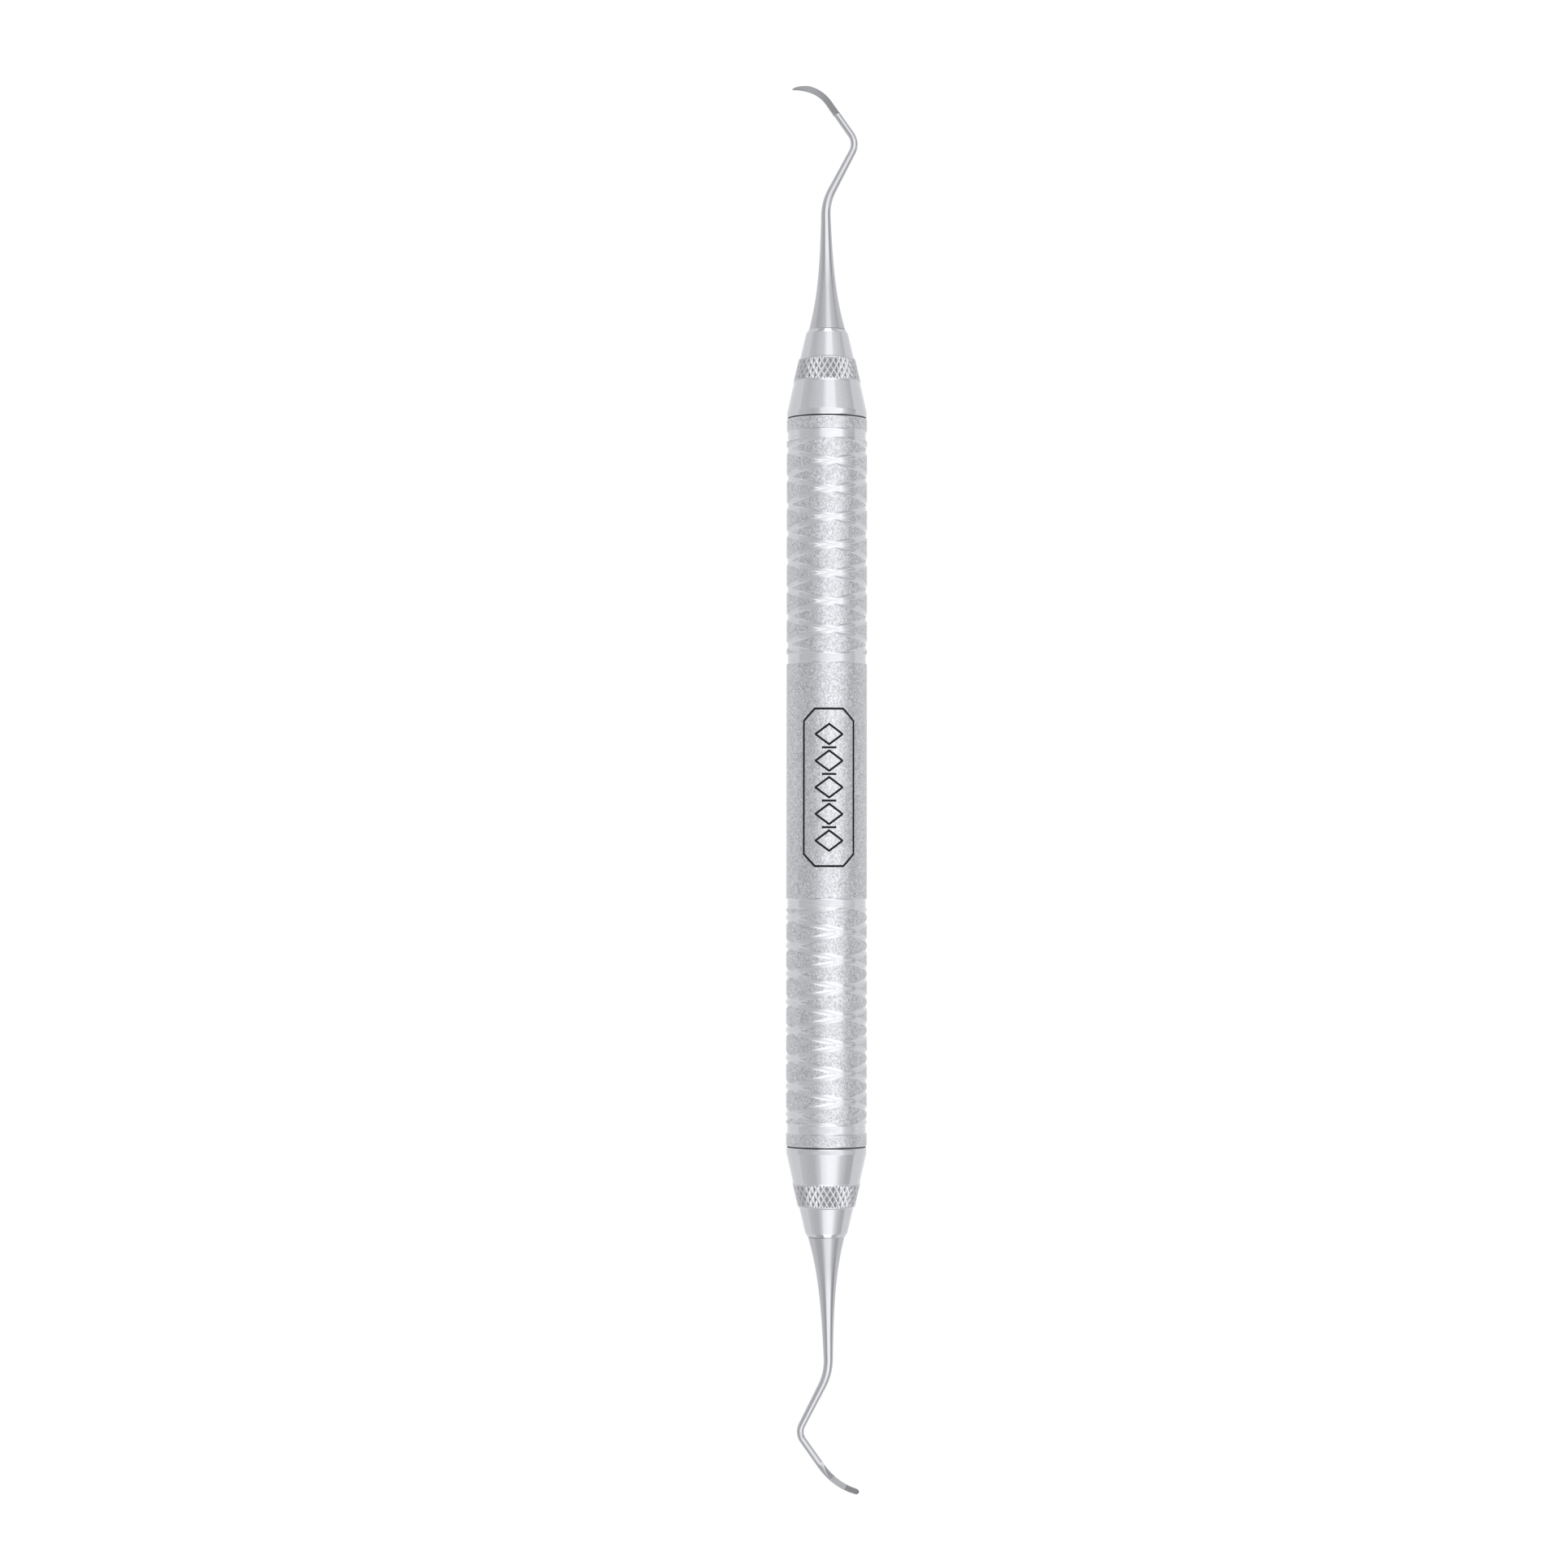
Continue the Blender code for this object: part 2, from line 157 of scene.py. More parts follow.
CURETTE = {
    "lean": 0.982,
    "first_run": 15.02,
    "first_bend": (7.03, 28.26),
    "second_run": 5.37,
    "second_bend": (1.79, 62.79),
    "terminal_run": 3.75,
    "blade_curves": ((12.66, 3.52), (7.93, 37.0)),
    "blade_start": 3.2,
    "blade_blend": 0.9,
    "blade_height": (0.89, 0.7),
    "blade_width": (0.98, 0.84),
    "back_power": (1.7, 4.0),
    "toe_length": 0.42,
    "pointed": False,
    # from, to and painted shade as above, and instead of the slant the plane: its lean towards the face
    # in degrees, and how far out it lies at from and at to
    "facets": ((6.4, 3.8, 0.7, 9.0, 0.6, 0.3), (3.8, 1.75, 0.0, 0.0, 0.3, 0.3),
               (1.75, 0.0, 1.0, 12.0, 0.3, 0.26)),
}

# Laser mark on the handle, a plain frame with a row of lozenges
MARK_LENGTH = 19.36
MARK_WIDTH = 6.58
MARK_CORNER = 1.5
MARK_LINE = 0.27
MARK_X = -0.4
MARK_AZIMUTH = 2.83
MARK_PROUD = 0.006
MARK_STEP = 0.25
LOZENGE_COUNT = 5
LOZENGE_LENGTH = 2.5
LOZENGE_WIDTH = 3.4
BAR_LENGTH = 1.8

# Camera, light and floor
LENS = 86.96
CAMERA_X = -12.862
CAMERA_Y = 5.303
CAMERA_ABOVE = 470.0  # above the handle's axis
CAMERA_TILT = 2.2
CAMERA_ROLL = 0.073
CAMERA_SHIFT_Y = -0.026
FLOOR_SIZE = 6000.0
FLOOR_GAP = 0.02
LIGHT_PEAK = 2.0
# Studio light as (angle from straight up towards -Y, level), for rays that go straight to the side,
# and then for rays that lean more and more along the handle. Each is a softbox overhead that leans
# towards -Y, with grey surroundings. The edges and levels were chosen so that the steel shows about
# the bands of light and dark that it has in the photograph.
WIDE_LIGHT = ((-180, 0.8), (-90, 0.82), (-45, 0.83), (-25, 1.05), (15, 1.5), (45, 1.5), (53, 1.1),
              (85, 0.85), (180, 0.8))
SHANK_LIGHT = ((-180, 0.9), (-80, 0.9), (-65, 0.85), (-40, 0.7), (-25, 0.8), (-17, 1.6), (0, 1.9),
               (43, 1.95), (48, 1.2), (66, 0.63), (90, 0.6), (180, 0.85))
UP_LIGHT = ((-180, 0.8), (-90, 0.9), (-65, 0.83), (-40, 0.95), (-15, 1.1), (0, 1.6), (25, 1.6),
            (31, 1.2), (60, 1.0), (90, 0.78), (180, 0.85))
DOWN_LIGHT = ((-180, 0.75), (-85, 0.9), (-60, 0.8), (-40, 0.8), (-22, 1.1), (-15, 1.45), (5, 1.7),
              (28, 1.7), (46, 1.1), (70, 0.75), (180, 0.7))
STEEP_UP_LIGHT = ((-180, 0.8), (-60, 0.75), (-35, 0.85), (-25, 1.9), (45, 1.9), (53, 0.95),
                  (90, 0.8))
STEEP_DOWN_LIGHT = ((-180, 0.75), (-60, 0.7), (-35, 0.9), (-24, 1.95), (49, 1.95), (53, 0.85),
                    (90, 0.68))
WALL_LIGHT = ((-180, 0.3), (-60, 0.25), (-35, 0.35), (-24, 1.95), (49, 1.95), (53, 0.85), (90, 0.68))
# How far a ray leans along the handle (the part of it that runs so) where each light takes over
SHANK_LEAN = (0.1, 0.15)
SLOPE_LEAN = (0.28, 0.4)
STEEP_LEAN = (0.62, 0.74)
WALL_LEAN = (0.9, 0.95)

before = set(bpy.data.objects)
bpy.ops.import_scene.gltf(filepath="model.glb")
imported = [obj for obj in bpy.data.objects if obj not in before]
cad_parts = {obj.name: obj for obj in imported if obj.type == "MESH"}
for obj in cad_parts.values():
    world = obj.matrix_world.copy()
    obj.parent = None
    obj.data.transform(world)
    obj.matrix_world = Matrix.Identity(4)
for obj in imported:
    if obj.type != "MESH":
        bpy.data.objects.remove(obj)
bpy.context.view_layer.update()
TUBE_LOW, TUBE_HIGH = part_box("handle_tube")
AXIS_HEIGHT = (TUBE_LOW.z + TUBE_HIGH.z) / 2 / MM
HANDLE_RADIUS = AXIS_HEIGHT
HANDLE_LENGTH = (TUBE_HIGH.x - TUBE_LOW.x) / MM
HANDLE_CENTRE = (TUBE_HIGH.x + TUBE_LOW.x) / 2 / MM


# Meshes


def skin(name, rings, sharp=30.0, looped=False, attributes=None):
    """An object over rings of points, an array (ring, point, xyz) in millimetres. The skin is
    capped at both ends, or joined end to end when looped."""
    count, sides = rings.shape[:2]
    index = np.arange(count * sides).reshape(count, sides)
    rows = np.vstack([index, index[:1]]) if looped else index
    low, high = rows[:-1], rows[1:]
    quads = np.stack([low, np.roll(low, -1, 1), np.roll(high, -1, 1), high], -1)
    faces = quads.reshape(-1, 4).tolist()
    if not looped:
        faces += [index[0].tolist(), index[-1].tolist()]
    mesh = bpy.data.meshes.new(name)
    mesh.from_pydata((rings.reshape(-1, 3) * MM).tolist(), [], faces)
    for key, values in (attributes or {}).items():
        kind = "FLOAT" if values.ndim == 2 else "FLOAT_VECTOR"
        layer = mesh.attributes.new(key, kind, "POINT")
        layer.data.foreach_set("value" if kind == "FLOAT" else "vector", values.ravel())
    shape = bmesh.new()
    shape.from_mesh(mesh)
    bmesh.ops.recalc_face_normals(shape, faces=shape.faces[:])
    shape.to_mesh(mesh)
    shape.free()
    mesh.shade_smooth()
    mesh.set_sharp_from_angle(angle=math.radians(sharp))
    obj = bpy.data.objects.new(name, mesh)
    bpy.context.scene.collection.objects.link(obj)
    return obj


def end_frame(side):
    """From an end's own frame, in millimetres, to the instrument's."""
    face = HANDLE_CENTRE + side * HANDLE_LENGTH / 2
    turn = 0.0 if side > 0 else math.pi
    place = Matrix.Translation((face, 0.0, AXIS_HEIGHT))
    return place @ Matrix.Rotation(turn, 4, "Z") @ Matrix.Rotation(math.pi / 2, 4, "Y")


def placed(points, matrix):
    turn = np.array(matrix.to_3x3())
    return points @ turn.T + np.array(matrix.translation)


def turned(radius, height):
    """Rings round Z from radii (ring, column) or (ring, 1) and heights (ring)."""
    columns = radius.shape[1]
    angle = 2 * np.pi * np.arange(columns) / columns
    heights = np.broadcast_to(np.asarray(height, float)[:, None], radius.shape)
    return np.stack([radius * np.cos(angle), radius * np.sin(angle), heights], -1)


def ramp(value):
    return np.clip(value, 0.0, 1.0)


def smooth(value):
    value = ramp(value)
    return value * value * (3 - 2 * value)


# Handle


def ring_depth(x):
    depth = np.zeros_like(x)
    for offset in RING_OFFSETS:
        for side in (-1, 1):
            inside = RING_WIDTH / 2 - np.abs(x - side * offset)
            depth = np.maximum(depth, RING_DEPTH * smooth(inside / RING_WALL))
    return depth


def helix_depth(x, azimuth):
    """Depth of the two crossing pairs of helical grooves in each zone between two ring grooves."""
    depth = np.zeros(np.broadcast(x, azimuth).shape)
    slope = HELIX_LEAD / (2 * np.pi * HANDLE_RADIUS)
    across = math.cos(math.atan(slope))
    outer, inner = RING_OFFSETS
    for phase, low, high, start in (
        (ZONE_PHASES[0], inner, outer, outer),
        (ZONE_PHASES[1], -outer, -inner, -inner),
    ):
        zone = (x > low) & (x < high)
        for hand in (-1, 1):
            turn = azimuth - math.radians(phase) - hand * 2 * np.pi * (x - start) / HELIX_LEAD
            off = (turn + np.pi / 2) % np.pi - np.pi / 2
            distance = np.abs(off) * HELIX_LEAD / (2 * np.pi) * across
            groove = HELIX_DEPTH * ramp(1 - (2 * distance / HELIX_WIDTH) ** HELIX_FLATNESS)
            depth = np.maximum(depth, np.where(zone, groove, 0.0))
    return depth


def handle_rows():
    """Places along the handle, close together where there are grooves."""
    end = HANDLE_LENGTH / 2
    outer, inner = RING_OFFSETS
    reach = RING_WIDTH / 2
    edges = (inner - reach, outer + reach)
    half = [np.arange(0.0, edges[0], PLAIN_STEP), np.arange(edges[0], edges[1], ZONE_STEP)]
    half.append(end - np.array(EDGE_ROWS + tuple(back for back, _ in EDGE_ROUND)))
    rows = np.concatenate(half)
    return np.concatenate([rows[::-1], -rows[1:]])


def make_handle(material):
    rows = handle_rows()
    azimuth = 2 * np.pi * np.arange(HANDLE_COLUMNS) / HANDLE_COLUMNS
    x, around = rows[:, None], azimuth[None, :]
    end = HANDLE_LENGTH / 2
    rounding = np.interp(np.abs(x), *zip(*((end - back, drop) for back, drop in EDGE_ROUND)))
    depth = np.maximum(np.maximum(ring_depth(x), helix_depth(x, around)), rounding)
    inside = [(BORE_RADIUS + EDGE_CHAMFER, -end), (BORE_RADIUS, EDGE_CHAMFER - end),
              (BORE_RADIUS, end - EDGE_CHAMFER), (BORE_RADIUS + EDGE_CHAMFER, end)]
    radius = np.vstack([HANDLE_RADIUS - depth] + [np.full((1, HANDLE_COLUMNS), r) for r, _ in inside])
    along = np.concatenate([rows, [height for _, height in inside]])[:, None]
    polish = ramp(depth / POLISH_DEPTH)
    polish = np.vstack([polish, np.ones((len(inside), HANDLE_COLUMNS))])
    points = np.stack(
        [
            np.broadcast_to(HANDLE_CENTRE + along, radius.shape),
            -radius * np.sin(around),
            AXIS_HEIGHT + radius * np.cos(around),
        ],
        -1,
    )
    tube = skin("scaler_handle", points, sharp=50.0, looped=True, attributes={"polish": polish})
    finish(tube, "handle", "blasted_steel", material, "handle_tube")


def finish(obj, body, slot, material, *nodes):
    obj.data.materials.append(material)
    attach(obj, body)
    if nodes:
        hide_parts(*nodes)


# Laser mark


def strip(shape, start, end, width):
    """One straight line of the mark, from start to end in (along, around) millimetres, laid on the
    handle as a thin curved plate."""
    start, end = np.array(start), np.array(end)
    length = np.linalg.norm(end - start)
    ahead = (end - start) / length
    side = np.array((-ahead[1], ahead[0])) * width / 2
    steps = max(2, int(length / MARK_STEP))
    loops = []
    for i in range(steps + 1):
        middle = start + ahead * length * i / steps
        loop = []
        for sign, proud in ((-1, MARK_PROUD), (1, MARK_PROUD), (1, -MARK_PROUD), (-1, -MARK_PROUD)):
            along, around = middle + sign * side
            angle = math.radians(MARK_AZIMUTH) + around / HANDLE_RADIUS
            radius = HANDLE_RADIUS + proud
            loop.append(shape.verts.new((
                (MARK_X + along) * MM,
                -radius * math.sin(angle) * MM,
                (AXIS_HEIGHT + radius * math.cos(angle)) * MM,
            )))
        loops.append(loop)
    for low, high in zip(loops, loops[1:]):
        for i in range(4):
            j = (i + 1) % 4
            shape.faces.new((low[i], low[j], high[j], high[i]))
    shape.faces.new(loops[0])
    shape.faces.new(loops[-1])


def outline(shape, corners, width):
    for start, end in zip(corners, corners[1:] + corners[:1]):
        ahead = np.array(end) - np.array(start)
        reach = ahead / np.linalg.norm(ahead) * width / 2 * math.tan(math.pi / 8)
        strip(shape, np.array(start) - reach, np.array(end) + reach, width)


def make_mark(material):
    """A frame with cut corners round a row of lozenges with bars between them."""
    shape = bmesh.new()
    long, wide, cut = MARK_LENGTH / 2, MARK_WIDTH / 2, MARK_CORNER
    outline(shape, [(long - cut, wide), (cut - long, wide), (-long, wide - cut), (-long, cut - wide),
                    (cut - long, -wide), (long - cut, -wide), (long, cut - wide), (long, wide - cut)],
            MARK_LINE)
    spacing = (MARK_LENGTH - 2 * cut) / LOZENGE_COUNT
    ahead, aside, bar = LOZENGE_LENGTH / 2, LOZENGE_WIDTH / 2, BAR_LENGTH / 2
    for i in range(LOZENGE_COUNT):
        middle = (i - (LOZENGE_COUNT - 1) / 2) * spacing
        outline(shape, [(middle + ahead, 0.0), (middle, aside), (middle - ahead, 0.0), (middle, -aside)],
                MARK_LINE)
        if i:
            strip(shape, (middle - spacing / 2, -bar), (middle - spacing / 2, bar), MARK_LINE)
    bmesh.ops.recalc_face_normals(shape, faces=shape.faces[:])
    mesh = bpy.data.meshes.new("laser_mark")
    shape.to_mesh(mesh)
    shape.free()
    mark = bpy.data.objects.new("laser_mark", mesh)
    bpy.context.scene.collection.objects.link(mark)
    finish(mark, "handle", "blasted_steel", material)


# Cones


def knurl_depth(height, angle):
    """Depth of the diamond pits between two families of crossing ridges."""
    middle = (BELT_START + BELT_END) / 2
    along = (height - middle) / KNURL_PITCH + KNURL_PHASE
    around = angle * KNURL_COUNT / (2 * np.pi)
    first = np.abs((around + along) % 1.0 - 0.5)
    second = np.abs((around - along) % 1.0 - 0.5)
    nearest = 0.5 - np.maximum(first, second)
    pit = ramp((nearest - KNURL_RIDGE) / (0.5 - KNURL_RIDGE)) ** KNURL_POWER
    margin = np.minimum(height - BELT_START, BELT_END - height) / KNURL_MARGIN
    return KNURL_DEPTH * pit * smooth(margin)


def thread_radius(height, angle):
    """The stud's surface with its helical ridge, which fades in and out at the thread's ends."""
    bottom = THREAD_TOP - THREAD_TURNS * THREAD_PITCH
    phase = (height - bottom) / THREAD_PITCH - angle / (2 * np.pi)
    off = np.abs(phase - np.round(phase)) * THREAD_PITCH
    slope = (THREAD_ROOT_WIDTH - THREAD_CREST_WIDTH) / 2
    ridge = ramp((THREAD_ROOT_WIDTH / 2 - off) / slope)
    turns = np.round(phase) + angle / (2 * np.pi)
    ridge = ridge * (turns > 0) * (turns < THREAD_TURNS)
    return THREAD_ROOT_RADIUS + (THREAD_MAJOR_RADIUS - THREAD_ROOT_RADIUS) * ridge


def cone_profile():
    """(radius, height) from the bottom of the nose bore, over the cone, to the stud's end."""
    rear_end = LAND_RADIUS - LAND_STEP - REAR_SLOPE * (BELT_START - BELT_STEP - LAND_END)
    front = NOSE_CHAMFER_RADIUS + FRONT_SLOPE * (NOSE_CHAMFER_START - BELT_END - BELT_STEP)
    edge_in, edge_back = NOSE_EDGE
    round_in, round_out, round_along = SHOULDER_ROUND
    points = [(NOSE_BORE_RADIUS, NOSE_BORE_BOTTOM), (NOSE_BORE_RADIUS, NOSE_FACE - NOSE_BORE_CHAMFER),
              (NOSE_BORE_RADIUS + NOSE_BORE_CHAMFER, NOSE_FACE), (NOSE_RADIUS - edge_in, NOSE_FACE),
              (NOSE_RADIUS, NOSE_FACE - edge_back),
              (NOSE_CHAMFER_RADIUS - round_in, NOSE_CHAMFER_START + round_along),
              (NOSE_CHAMFER_RADIUS, NOSE_CHAMFER_START),
              (NOSE_CHAMFER_RADIUS + round_out, NOSE_CHAMFER_START - round_along),
              (front, BELT_END + BELT_STEP)]
    belt = np.arange(BELT_END, BELT_START, -KNURL_STEP)
    slope = (BELT_START_RADIUS - BELT_END_RADIUS) / (BELT_END - BELT_START)
    points += [(BELT_END_RADIUS + slope * (BELT_END - height), height) for height in belt]
    points += [(BELT_START_RADIUS, BELT_START), (rear_end, BELT_START - BELT_STEP),
               (LAND_RADIUS - LAND_STEP, LAND_END + LAND_END_WIDTH), (LAND_RADIUS, LAND_END),
               *((LAND_RADIUS - drop, SEAM_GAP + back) for back, drop in EDGE_ROUND),
               (SPIGOT_RADIUS, SEAM_GAP), (SPIGOT_RADIUS, SPIGOT_END + EDGE_CHAMFER),
               (SPIGOT_RADIUS - EDGE_CHAMFER, SPIGOT_END), (NECK_RADIUS, SPIGOT_END),
               (NECK_RADIUS, NECK_END + NECK_STEP)]
    stud = np.arange(NECK_END, STUD_END + STUD_CHAMFER, -THREAD_STEP)
    points += [(THREAD_ROOT_RADIUS, height) for height in stud]
    points += [(THREAD_ROOT_RADIUS - STUD_CHAMFER, STUD_END)]
    return supported(np.array(points))


def supported(points):
    """The profile with two more points near both ends of each long straight part, which keep the
    smooth shading of a corner close to it."""
    rows = [points[0]]
    for start, end in zip(points, points[1:]):
        length = np.linalg.norm(end - start)
        if length > 4 * SUPPORT:
            ahead = (end - start) / length * SUPPORT
            rows += [start + ahead, end - ahead]
        rows.append(end)
    return np.array(rows)


def make_cone(end, side, material):
    profile = cone_profile()
    height = profile[:, 1:]
    angle = 2 * np.pi * np.arange(CONE_COLUMNS)[None, :] / CONE_COLUMNS
    radius = np.broadcast_to(profile[:, :1], (len(profile), CONE_COLUMNS)).copy()
    outside = profile[:, :1] > NOSE_RADIUS
    belt = (height >= BELT_START) & (height <= BELT_END) & outside
    pits = np.where(belt, knurl_depth(height, angle), 0.0)
    stud = (height < NECK_END + NECK_STEP / 2) & (height > STUD_END + STUD_CHAMFER / 2)
    radius = np.where(stud, thread_radius(height, angle), radius - pits)
    points = placed(turned(radius, profile[:, 1]), end_frame(side))
    where = np.stack(np.broadcast_arrays(height, angle, radius), -1)
    cone = skin(
        f"{end}_cone_turned",
        points,
        sharp=34.0,
        attributes={"pit": ramp(pits / KNURL_DEPTH), "turned": where},
    )
    finish(cone, f"{end}_end", "polished_steel", material, f"{end}_cone")


def make_seal(end, side, material):
    bottom = (SEAM_GAP - SEAL_THICKNESS) / 2
    middle = SEAM_GAP / 2
    arc = np.linspace(-math.pi / 2, math.pi / 2, SEAL_ARC_POINTS)
    outer = SEAL_OUTER_RADIUS + SEAL_BULGE * np.cos(arc)
    heights = middle + SEAL_THICKNESS / 2 * np.sin(arc)
    inner = SEAL_INNER_RADIUS + SEAL_EDGE * np.array((1, 0, 0, 1))
    radii = np.concatenate([outer, inner])
    top = bottom + SEAL_THICKNESS
    heights = np.concatenate([heights, [top, top - SEAL_EDGE, bottom + SEAL_EDGE, bottom]])
    radius = np.broadcast_to(radii[:, None], (len(radii), SEAL_COLUMNS))
    points = placed(turned(radius, heights), end_frame(side))
    seal = skin(f"{end}_seal_soft", points, looped=True)
    finish(seal, f"{end}_seal", "black_nitrile", material, f"{end}_seal_ring")


# Working ends


def walk(tip):
    """Stations (distance, height, sideways, heading) along the middle of a working end."""
    heading = -math.radians(tip["lean"])
    distance, height, sideways = SHANK_START, SHANK_START, 0.0
    stations = [(distance, height, sideways, heading)]
    moves = [
        (tip["first_run"], 0.0, STATION_STEP),
        (*tip["first_bend"], STATION_STEP),
        (tip["second_run"], 0.0, STATION_STEP),
        (tip["second_bend"][0], -tip["second_bend"][1], STATION_STEP),
        (tip["blade_start"], 0.0, STATION_STEP),
        (tip["terminal_run"] - tip["blade_start"], 0.0, BLADE_STEP),
    ]
    moves += [(radius, -degrees, BLADE_STEP) for radius, degrees in tip["blade_curves"]]
    for size, degrees, step in moves:
        angle = math.radians(degrees)
        length = size * abs(angle) if degrees else size
        count = math.ceil(max(length / step, abs(degrees) / STATION_TURN))
        for _ in range(count):
            middle = heading + angle / count / 2
            distance += length / count
            height += math.cos(middle) * length / count
            sideways += math.sin(middle) * length / count
            heading += angle / count
            stations.append((distance, height, sideways, heading))
    return stations


def close_toe(stations, length):
    """Puts the last stations close together, where the toe closes quickly."""
    distance, height, sideways, heading = stations[-1]
    while stations[-1][0] > distance - length:
        stations.pop()
    for i in range(TOE_STATIONS + 1):
        back = length * (1 - i / TOE_STATIONS) ** 2
        stations.append((distance - back, height - math.cos(heading) * back,
                         sideways - math.sin(heading) * back, heading))


def blade_start(tip):
    bends = (tip["first_bend"], tip["second_bend"])
    arcs = sum(radius * math.radians(degrees) for radius, degrees in bends)
    return SHANK_START + tip["first_run"] + tip["second_run"] + arcs + tip["blade_start"]


def shank_diameter(distance):
    along = distance - SHANK_START
    flare = FLARE_DIAMETER * math.exp(-((along / FLARE_LENGTH) ** FLARE_POWER))
    return max(SHANK_DIAMETER - SHANK_SLOPE * along + flare, SHANK_LEAST_DIAMETER)


def round_section(radius):
    turn = 2 * np.pi * np.arange(TIP_SIDES) / TIP_SIDES
    return np.stack([radius * np.cos(turn), radius * np.sin(turn)], -1)


def blade_section(height, width, power):
    """(towards the face, across) points: a flat face, and a back from triangular to round."""
    corner = TIP_SIDES // 8
    side = (np.arange(TIP_SIDES) + TIP_SIDES // 2) % TIP_SIDES - TIP_SIDES // 2
    part = ramp((np.abs(side) - corner) / (TIP_SIDES // 2 - corner))
    across = np.cos(np.pi / 2 * part)
    depth = (1 - across**power) ** (1 / power)
    flat = np.abs(side) <= corner
    sideways = np.where(flat, side / corner, np.sign(side) * across)
    return np.stack([height / 2 - height * np.where(flat, 0.0, depth), width / 2 * sideways], -1)


def toe_factors(tip, distance, end):
    left = min((end - distance) / tip["toe_length"], 1.0)
    if tip["pointed"]:
        return max(left**POINT_POWER, TOE_LEAST), max(left, TOE_LEAST)
    round_toe = max((1 - (1 - left) ** 2) ** 0.5, TOE_LEAST)
    return round_toe, round_toe


def ground(tip, section, left, height, closing):
    """The section with its facets, how much of each point is ground and how much painted shade darkens
    it.
    A facet is either a plane cut on both sides, or a part of the section as it is, which starts
    at the face and reaches the back later."""
    matt, facet_shade = np.zeros(TIP_SIDES), np.zeros(TIP_SIDES)
    for start, stop, painted_shade, *plane in tip["facets"]:
        if not stop < left <= start:
            continue
        if len(plane) > 1:
            lean, first, last = math.radians(plane[0]), plane[1], plane[2]
            reach = (last + (first - last) * (left - stop) / (start - stop)) * closing
            out = section[:, 0] * math.sin(lean) + np.abs(section[:, 1]) * math.cos(lean) - reach
            over = np.maximum(out, 0.0)
            cut = np.stack([over * math.sin(lean), over * math.cos(lean) * np.sign(section[:, 1])], -1)
            section = section - cut
            matt = ramp(out / FACET_CUT)
        else:
            reach = (section[:, 0] / height + 0.5) * plane[0] + start - plane[0] - left
            matt = ramp(reach / FACET_EDGE + 1.0)
        # Painted shade: a ground facet is painted darker by its share of shade.
        facet_shade = matt * painted_shade
    return section, matt, facet_shade


def tip_section(tip, distance, start, end):
    circle = round_section(shank_diameter(distance) / 2)
    if distance <= start:
        return circle, np.zeros(TIP_SIDES), np.zeros(TIP_SIDES)
    along = (distance - start) / (end - start)
    height, width, power = (
        heel + (toe - heel) * along
        for heel, toe in (tip["blade_height"], tip["blade_width"], tip["back_power"])
    )
    height_left, width_left = toe_factors(tip, distance, end)
    blade = blade_section(height * height_left, width * width_left, power)
    if tip["pointed"]:
        blade[:, 0] += height * (1 - height_left) / 2
    section = circle + (blade - circle) * smooth((distance - start) / tip["blade_blend"])
    return ground(tip, section, end - distance, height, width_left)


def make_tip(end, side, tip, material):
    stations = walk(tip)
    start, last = blade_start(tip), stations[-1][0]
    if not tip["pointed"]:
        close_toe(stations, tip["toe_length"])
    none = np.zeros(TIP_SIDES)
    rings, matts, facet_shades, paths = [], [], [], []
    tang = [(TANG_BOTTOM, 0.0, 0.0), (SHANK_START - TANG_SHOULDER, 0.0, 0.0)]
    stations = [(height, height, sideways, heading) for height, sideways, heading in tang] + stations
    for i, (distance, height, sideways, heading) in enumerate(stations):
        if i < len(tang):
            section, matt, facet_shade = round_section(TANG_RADIUS), none, none
        else:
            section, matt, facet_shade = tip_section(tip, distance, start, last)
        normal = np.array((0.0, math.cos(heading), math.sin(heading)))
        centre = np.array((0.0, -sideways, height))
        ring = centre + section[:, :1] * normal + section[:, 1:] * np.array((1.0, 0.0, 0.0))
        rings.append(ring)
        matts.append(matt)
        facet_shades.append(facet_shade)
        paths.append(np.column_stack([np.full(TIP_SIDES, distance), section]))
    points = placed(np.array(rings), end_frame(side))
    # The third attribute is painted shade on the ground facets.
    attributes = {"ground": np.array(matts), "facet_shade": np.array(facet_shades), "path": np.array(paths)}
    obj = skin(f"{end}_tip_forged", points, sharp=24.0, attributes=attributes)
    finish(obj, f"{end}_end", "tip_steel", material, f"{end}_tip")


# Materials


